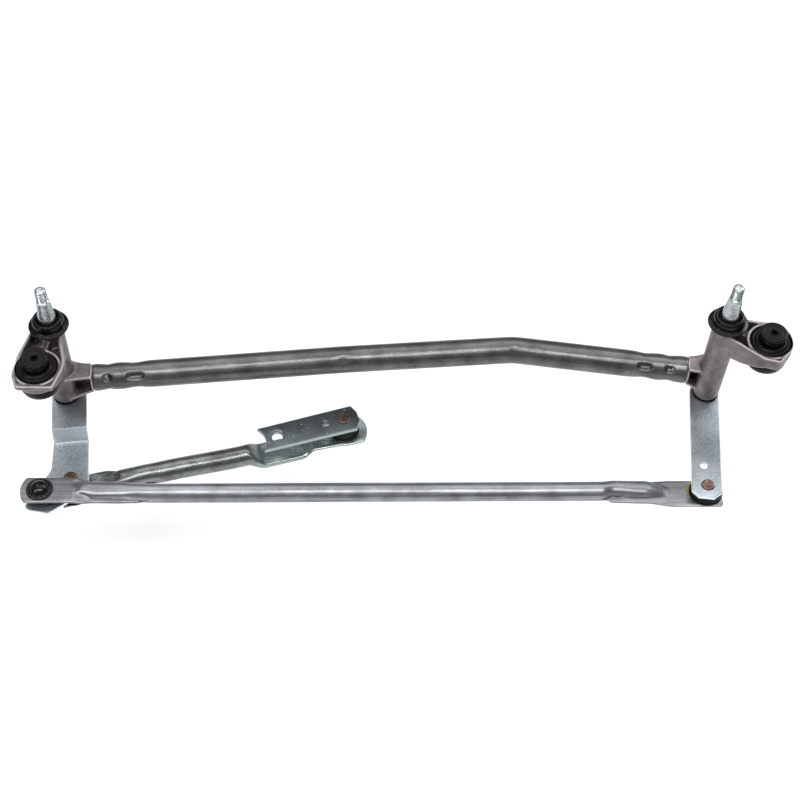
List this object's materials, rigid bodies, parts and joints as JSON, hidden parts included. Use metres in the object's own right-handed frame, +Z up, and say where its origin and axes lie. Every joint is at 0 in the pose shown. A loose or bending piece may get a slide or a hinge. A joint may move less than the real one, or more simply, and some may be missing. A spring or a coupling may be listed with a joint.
{
  "type": "windshield wiper linkage",
  "caption": "Windshield wiper linkage: two spindle housings on a bent cross tube, with levers, coupling rod, drive rod and motor crank on ball joints.",
  "frame": {"origin": "centre of the assembly's bounding box, as shown at rest", "axes": "+X from the left spindle to the right one, +Y from the levers towards the cross tube's side, +Z up along both wiper spindles"},
  "size_m": [0.6364, 0.157, 0.1804],
  "materials": {
    "tube_steel": "dark grey drawn steel tube",
    "rod_steel": "plated steel tube, pressed ends",
    "zinc": "bluish zinc-plated sheet steel",
    "crank_zinc": "grey-green zinc-plated sheet steel",
    "cast_alloy": "bare die-cast zinc or aluminium alloy",
    "spindle_zinc": "bright zinc-plated steel",
    "bronze": "sintered bronze",
    "rivet_copper": "staked steel rivet head with a copper-brown tarnish",
    "black_plastic": "black moulded plastic, slightly glossy",
    "black_rubber": "soft black rubber",
    "black_steel": "black coated steel"
  },
  "bodies": {
    "frame": {"cross_tube": "tube_steel", "left_housing": "cast_alloy", "left_grommet": "black_rubber", "left_mount_sleeve": "zinc", "left_mount_screw": "black_steel", "left_spindle_cap": "black_plastic", "left_shaft_seal": "black_rubber", "left_lower_bush": "bronze", "left_upper_bush": "bronze", "left_lower_washer": "black_plastic", "right_housing": "cast_alloy", "right_grommet": "black_rubber", "right_mount_sleeve": "zinc", "right_mount_screw": "black_steel", "right_spindle_cap": "black_plastic", "right_shaft_seal": "black_rubber", "right_lower_bush": "bronze", "right_upper_bush": "bronze", "right_lower_washer": "black_plastic"},
    "left_rocker": {"left_spindle": "spindle_zinc", "left_thrust_washer": "zinc", "left_circlip": "black_steel", "left_lever": "zinc", "left_link_ball": "rivet_copper", "left_drive_ball": "rivet_copper"},
    "right_rocker": {"right_spindle": "spindle_zinc", "right_thrust_washer": "zinc", "right_circlip": "black_steel", "right_lever": "zinc", "right_link_ball": "rivet_copper"},
    "link_rod_set": {"link_rod": "rod_steel", "link_rod_left_socket": "black_plastic", "link_rod_left_boot": "black_rubber", "link_rod_right_socket": "black_plastic", "link_rod_right_boot": "black_rubber"},
    "drive_rod_set": {"drive_rod": "rod_steel", "drive_rod_left_socket": "black_plastic", "drive_rod_left_boot": "black_rubber", "drive_rod_crank_socket": "black_plastic", "drive_rod_crank_boot": "black_rubber"},
    "crank_set": {"motor_crank": "crank_zinc", "crank_ball": "rivet_copper"}
  },
  "joints": [
    {"name": "left_spindle_turn", "type": "hinge", "parent": "frame", "child": "left_rocker", "pos_m": [-0.28962, 0.03784, 0.00425], "axis": [0, 0, 1], "range_deg": [-50, 50]},
    {"name": "right_spindle_turn", "type": "hinge", "parent": "frame", "child": "right_rocker", "pos_m": [0.26638, 0.03784, 0.00425], "axis": [0, 0, 1], "range_deg": [-50, 50]},
    {"name": "link_rod_swing", "type": "hinge", "parent": "left_rocker", "child": "link_rod_set", "pos_m": [-0.30202, -0.06076, -0.04615], "axis": [0, 0, 1], "range_deg": [-50, 50]},
    {"name": "drive_rod_swing", "type": "hinge", "parent": "left_rocker", "child": "drive_rod_set", "pos_m": [-0.27982, -0.04166, -0.07525], "axis": [0, 0, 1], "range_deg": [-70, 70]},
    {"name": "motor_crank_turn", "type": "hinge", "parent": "drive_rod_set", "child": "crank_set", "pos_m": [-0.04852, 0.02514, -0.07975], "axis": [0, 0, 1], "continuous": true}
  ],
  "couplings": [
    {"joint": "right_spindle_turn", "follows": "left_spindle_turn", "ratio": 1},
    {"joint": "link_rod_swing", "follows": "left_spindle_turn", "ratio": -1}
  ]
}
